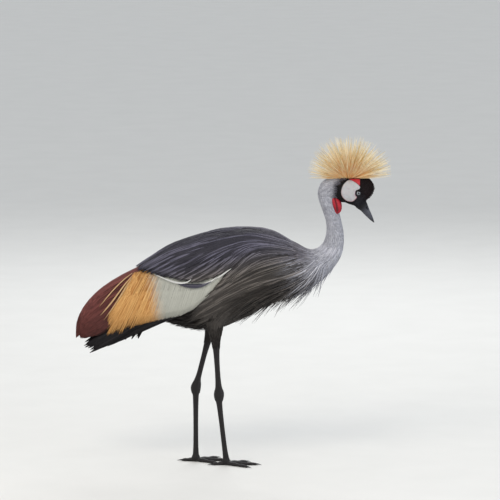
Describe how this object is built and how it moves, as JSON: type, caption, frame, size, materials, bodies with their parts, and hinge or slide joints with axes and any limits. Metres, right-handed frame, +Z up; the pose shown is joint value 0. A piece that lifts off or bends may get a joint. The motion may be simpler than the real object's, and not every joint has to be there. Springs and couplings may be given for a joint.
{
  "type": "grey crowned crane model",
  "caption": "Still life-size grey crowned crane standing in mid-step with its head lowered, with a fan of straw-gold crest bristles.",
  "frame": {"origin": "on the ground, under the middle of the bird's length and width", "axes": "+X towards the bill, +Y to the bird's left, +Z up"},
  "size_m": [0.8687, 0.2012, 0.9164],
  "materials": {
    "bill_horn": "smooth dark grey horn",
    "body_plumage": "charcoal feathers with pale fringes",
    "cheek_skin": "bare white skin with a pink tinge",
    "claw_horn": "dark horn",
    "crest_bristles": "stiff straw-gold bristles",
    "eye": "wet pale blue-grey iris with black pupil",
    "head_plumage": "short black feathers",
    "leg_scales": "black scaly skin",
    "mantle_plumage": "slate feathers with paler edges",
    "neck_plumage": "soft pale blue-grey feathers",
    "red_skin": "bare red skin, finely wrinkled",
    "tail_plumage": "black flight feathers",
    "velvet_cushion": "velvety black feathers",
    "wing_coverts": "white to golden plumes",
    "wing_primaries": "black flight feathers",
    "wing_secondaries": "chestnut flight feathers"
  },
  "bodies": {
    "root": {"ankle_left": "leg_scales", "ankle_right": "leg_scales", "bill_lower": "bill_horn", "bill_upper": "bill_horn", "brow_left": "red_skin", "brow_right": "red_skin", "cheek_left": "cheek_skin", "cheek_right": "cheek_skin", "claw_left_hind": "claw_horn", "claw_left_inner": "claw_horn", "claw_left_middle": "claw_horn", "claw_left_outer": "claw_horn", "claw_right_hind": "claw_horn", "claw_right_inner": "claw_horn", "claw_right_middle": "claw_horn", "claw_right_outer": "claw_horn", "crest": "crest_bristles", "eye_left": "eye", "eye_right": "eye", "foot_left": "leg_scales", "foot_right": "leg_scales", "forehead_cushion": "velvet_cushion", "head": "head_plumage", "neck_base": "neck_plumage", "neck_middle": "neck_plumage", "neck_upper": "neck_plumage", "shank_left": "leg_scales", "shank_right": "leg_scales", "tail": "tail_plumage", "tarsus_left": "leg_scales", "tarsus_right": "leg_scales", "thigh_left": "body_plumage", "thigh_right": "body_plumage", "torso": "body_plumage", "wattle": "red_skin", "wing_left_coverts": "wing_coverts", "wing_left_primaries": "wing_primaries", "wing_left_scapulars": "mantle_plumage", "wing_left_secondaries": "wing_secondaries", "wing_right_coverts": "wing_coverts", "wing_right_primaries": "wing_primaries", "wing_right_scapulars": "mantle_plumage", "wing_right_secondaries": "wing_secondaries"}
  },
  "joints": []
}
